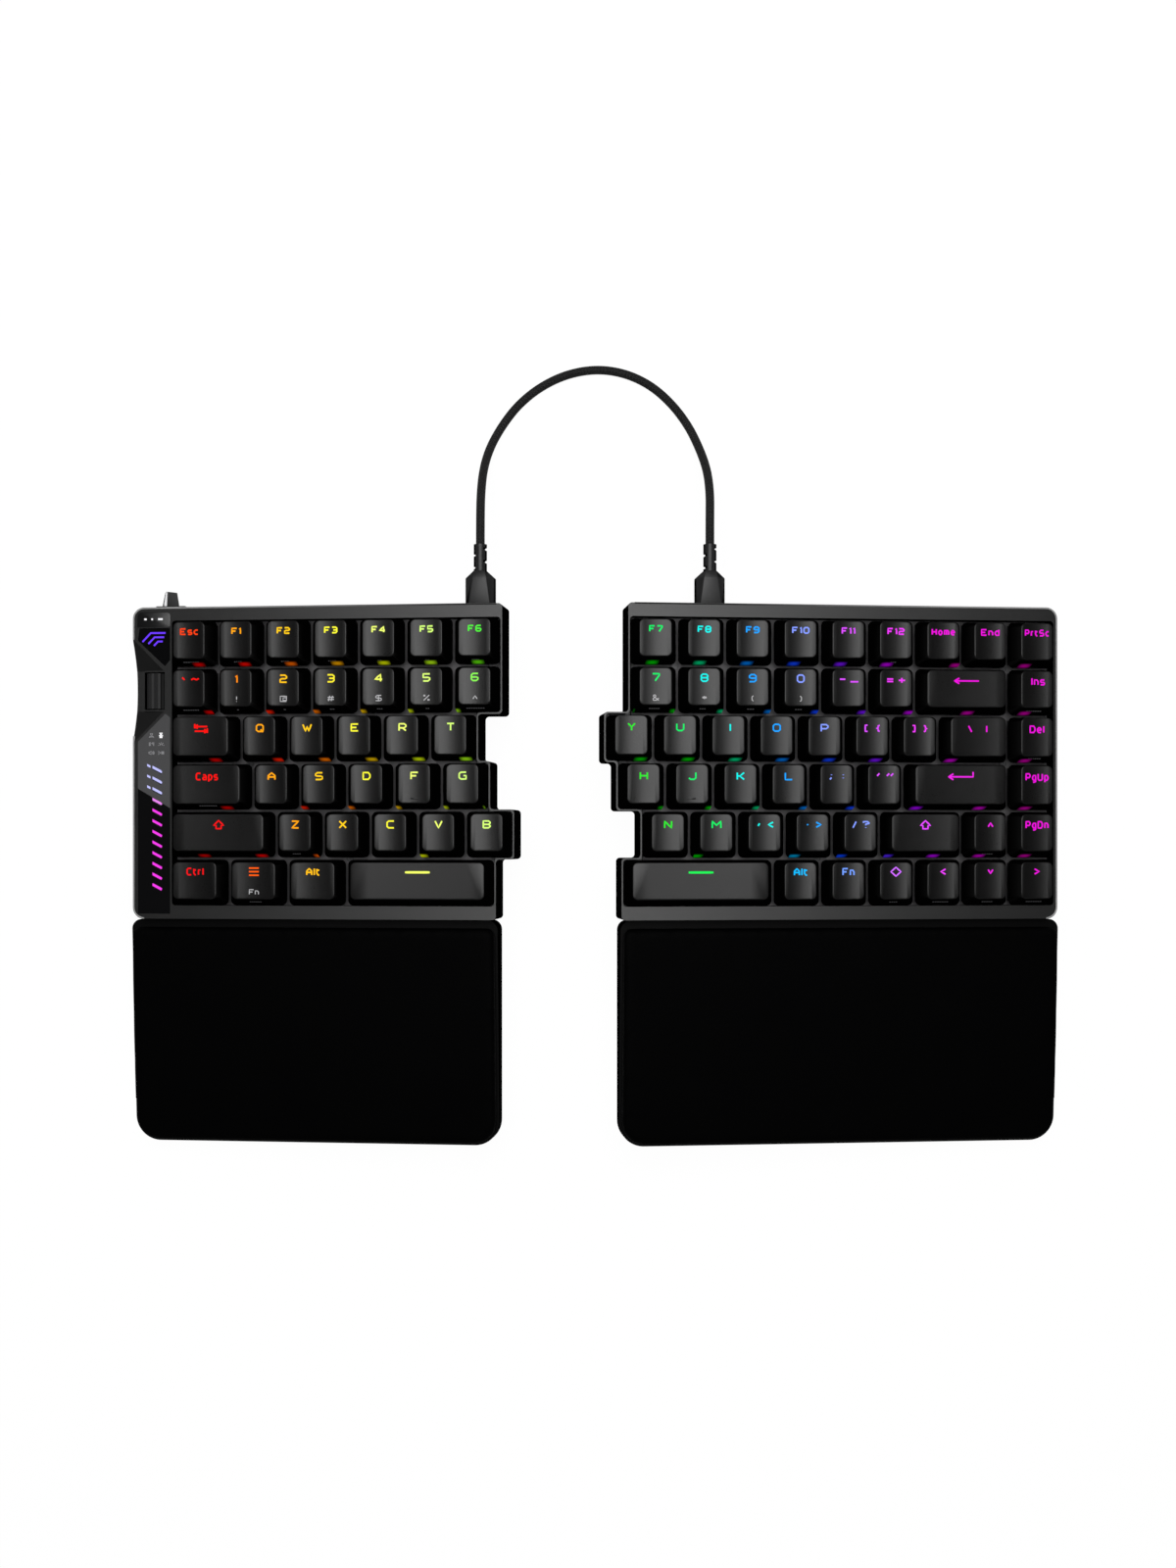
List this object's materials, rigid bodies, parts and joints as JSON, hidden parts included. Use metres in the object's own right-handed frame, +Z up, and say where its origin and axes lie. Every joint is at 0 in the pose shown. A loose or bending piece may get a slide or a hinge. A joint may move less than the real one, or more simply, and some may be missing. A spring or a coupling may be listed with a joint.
{
  "type": "split keyboard",
  "caption": "Tented split mechanical keyboard: two black keyed halves linked by a short braided cable, with legs that fold, lit legends, a side roller and a soft wrist rest on each half.",
  "frame": {"origin": "centre of the keyboard's box at desk level, without the link cable and its plugs", "axes": "+X to the user's right, +Y away from the user, +Z up"},
  "size_m": [0.3738, 0.316, 0.0461],
  "materials": {
    "case_plastic": "satin black moulded plastic",
    "cap_plastic": "finely textured black plastic with light-passing legends",
    "plate_metal": "silver-grey painted steel",
    "board": "dark solder mask",
    "housing_plastic": "translucent smoky plastic",
    "screw_steel": "zinc plated",
    "soft_rubber": "matt rubber",
    "socket_metal": "nickel plated",
    "gloss_inlay": "glossy black",
    "light_guide": "lit from behind",
    "battery_foil": "laminated foil",
    "cable_braid": "tight black braid",
    "pad_rubber": "soft matt surface"
  },
  "bodies": {
    "left_half": {"left_bottom_case": "case_plastic", "left_top_frame": "case_plastic", "left_switch_plate": "plate_metal", "left_circuit_board": "board", "left_switch_housings": "housing_plastic", "left_stabilisers": "housing_plastic", "left_plate_screws": "screw_steel", "left_case_screws": "screw_steel", "left_rubber_feet": "soft_rubber", "left_usb_sockets": "socket_metal", "left_plug": "case_plastic", "left_strain_relief": "soft_rubber", "link_cable": "cable_braid", "emblem_window": "gloss_inlay", "status_panel": "gloss_inlay", "light_bars": "light_guide", "roller_encoder": "housing_plastic", "mode_switch": "housing_plastic", "battery": "battery_foil"},
    "right_half": {"right_bottom_case": "case_plastic", "right_top_frame": "case_plastic", "right_switch_plate": "plate_metal", "right_circuit_board": "board", "right_switch_housings": "housing_plastic", "right_stabilisers": "housing_plastic", "right_plate_screws": "screw_steel", "right_case_screws": "screw_steel", "right_rubber_feet": "soft_rubber", "right_usb_sockets": "socket_metal", "right_plug": "case_plastic", "right_strain_relief": "soft_rubber"},
    "left_rest": {"left_rest_base": "case_plastic", "left_rest_pad": "pad_rubber", "left_rest_feet": "soft_rubber"},
    "right_rest": {"right_rest_base": "case_plastic", "right_rest_pad": "pad_rubber", "right_rest_feet": "soft_rubber"},
    "left_rear_leg_arm": {"left_rear_leg": "case_plastic"},
    "left_front_leg_arm": {"left_front_leg": "case_plastic"},
    "left_rest_leg_arm": {"left_rest_leg": "case_plastic"},
    "left_function_row": {"left_function_row_keys": "cap_plastic"},
    "left_number_row": {"left_number_row_keys": "cap_plastic"},
    "left_upper_row": {"left_upper_row_keys": "cap_plastic"},
    "left_home_row": {"left_home_row_keys": "cap_plastic"},
    "left_shift_row": {"left_shift_row_keys": "cap_plastic"},
    "left_bottom_row": {"left_bottom_row_keys": "cap_plastic"},
    "left_space": {"left_space_bar": "cap_plastic"},
    "right_rear_leg_arm": {"right_rear_leg": "case_plastic"},
    "right_front_leg_arm": {"right_front_leg": "case_plastic"},
    "right_rest_leg_arm": {"right_rest_leg": "case_plastic"},
    "right_function_row": {"right_function_row_keys": "cap_plastic"},
    "right_number_row": {"right_number_row_keys": "cap_plastic"},
    "right_upper_row": {"right_upper_row_keys": "cap_plastic"},
    "right_home_row": {"right_home_row_keys": "cap_plastic"},
    "right_shift_row": {"right_shift_row_keys": "cap_plastic"},
    "right_bottom_row": {"right_bottom_row_keys": "cap_plastic"},
    "right_space": {"right_space_bar": "cap_plastic"},
    "roller": {"volume_roller": "case_plastic"},
    "lever": {"mode_lever": "case_plastic"}
  },
  "joints": [
    {"name": "halves_spread", "type": "slide", "parent": "left_half", "child": "right_half", "axis": [1, 0, 0], "range_m": [-0.035, 0.06], "deforming": ["link_cable"]},
    {"name": "left_rest_detach", "type": "slide", "parent": "left_half", "child": "left_rest", "axis": [0, -1, 0], "range_m": [0, 0.05]},
    {"name": "left_rear_leg_fold", "type": "hinge", "parent": "left_half", "child": "left_rear_leg_arm", "pos_m": [-0.04361, 0.0853, 0.01785], "axis": [0, 1, 0], "range_deg": [0, 90]},
    {"name": "left_front_leg_fold", "type": "hinge", "parent": "left_half", "child": "left_front_leg_arm", "pos_m": [-0.04361, -0.0017, 0.01785], "axis": [0, 1, 0], "range_deg": [0, 90]},
    {"name": "left_rest_leg_fold", "type": "hinge", "parent": "left_rest", "child": "left_rest_leg_arm", "pos_m": [-0.04647, -0.0651, 0.01754], "axis": [0, 1, 0], "range_deg": [0, 90]},
    {"name": "left_function_row_press", "type": "slide", "parent": "left_half", "child": "left_function_row", "axis": [0.108, 0, -0.9942], "range_m": [0, 0.0038], "stiffness_N_per_m": 1260, "springref_m": -0.0015},
    {"name": "left_number_row_press", "type": "slide", "parent": "left_half", "child": "left_number_row", "axis": [0.108, 0, -0.9942], "range_m": [0, 0.0038], "stiffness_N_per_m": 1260, "springref_m": -0.0015},
    {"name": "left_upper_row_press", "type": "slide", "parent": "left_half", "child": "left_upper_row", "axis": [0.108, 0, -0.9942], "range_m": [0, 0.0038], "stiffness_N_per_m": 1080, "springref_m": -0.0015},
    {"name": "left_home_row_press", "type": "slide", "parent": "left_half", "child": "left_home_row", "axis": [0.108, 0, -0.9942], "range_m": [0, 0.0038], "stiffness_N_per_m": 1080, "springref_m": -0.0015},
    {"name": "left_shift_row_press", "type": "slide", "parent": "left_half", "child": "left_shift_row", "axis": [0.108, 0, -0.9942], "range_m": [0, 0.0038], "stiffness_N_per_m": 1080, "springref_m": -0.0015},
    {"name": "left_bottom_row_press", "type": "slide", "parent": "left_half", "child": "left_bottom_row", "axis": [0.108, 0, -0.9942], "range_m": [0, 0.0038], "stiffness_N_per_m": 540, "springref_m": -0.0015},
    {"name": "left_space_press", "type": "slide", "parent": "left_half", "child": "left_space", "axis": [0.108, 0, -0.9942], "range_m": [0, 0.0038], "stiffness_N_per_m": 200, "springref_m": -0.0015},
    {"name": "right_rest_detach", "type": "slide", "parent": "right_half", "child": "right_rest", "axis": [0, -1, 0], "range_m": [0, 0.05]},
    {"name": "right_rear_leg_fold", "type": "hinge", "parent": "right_half", "child": "right_rear_leg_arm", "pos_m": [0.0201, 0.0853, 0.0204], "axis": [0, -1, 0], "range_deg": [0, 90]},
    {"name": "right_front_leg_fold", "type": "hinge", "parent": "right_half", "child": "right_front_leg_arm", "pos_m": [0.0201, -0.0017, 0.0204], "axis": [0, -1, 0], "range_deg": [0, 90]},
    {"name": "right_rest_leg_fold", "type": "hinge", "parent": "right_rest", "child": "right_rest_leg_arm", "pos_m": [0.01785, -0.0651, 0.02065], "axis": [0, -1, 0], "range_deg": [0, 90]},
    {"name": "right_function_row_press", "type": "slide", "parent": "right_half", "child": "right_function_row", "axis": [-0.108, 0, -0.9942], "range_m": [0, 0.0038], "stiffness_N_per_m": 1620, "springref_m": -0.0015},
    {"name": "right_number_row_press", "type": "slide", "parent": "right_half", "child": "right_number_row", "axis": [-0.108, 0, -0.9942], "range_m": [0, 0.0038], "stiffness_N_per_m": 1440, "springref_m": -0.0015},
    {"name": "right_upper_row_press", "type": "slide", "parent": "right_half", "child": "right_upper_row", "axis": [-0.108, 0, -0.9942], "range_m": [0, 0.0038], "stiffness_N_per_m": 1620, "springref_m": -0.0015},
    {"name": "right_home_row_press", "type": "slide", "parent": "right_half", "child": "right_home_row", "axis": [-0.108, 0, -0.9942], "range_m": [0, 0.0038], "stiffness_N_per_m": 1440, "springref_m": -0.0015},
    {"name": "right_shift_row_press", "type": "slide", "parent": "right_half", "child": "right_shift_row", "axis": [-0.108, 0, -0.9942], "range_m": [0, 0.0038], "stiffness_N_per_m": 1440, "springref_m": -0.0015},
    {"name": "right_bottom_row_press", "type": "slide", "parent": "right_half", "child": "right_bottom_row", "axis": [-0.108, 0, -0.9942], "range_m": [0, 0.0038], "stiffness_N_per_m": 1080, "springref_m": -0.0015},
    {"name": "right_space_press", "type": "slide", "parent": "right_half", "child": "right_space", "axis": [-0.108, 0, -0.9942], "range_m": [0, 0.0038], "stiffness_N_per_m": 200, "springref_m": -0.0015},
    {"name": "volume_roller_turn", "type": "hinge", "parent": "left_half", "child": "roller", "pos_m": [-0.17596, 0.0713, 0.01715], "axis": [0, 1, 0], "continuous": true},
    {"name": "mode_lever_slide", "type": "slide", "parent": "left_half", "child": "lever", "axis": [0.9942, 0, 0.108], "range_m": [-0.0022, 0.0022]}
  ]
}
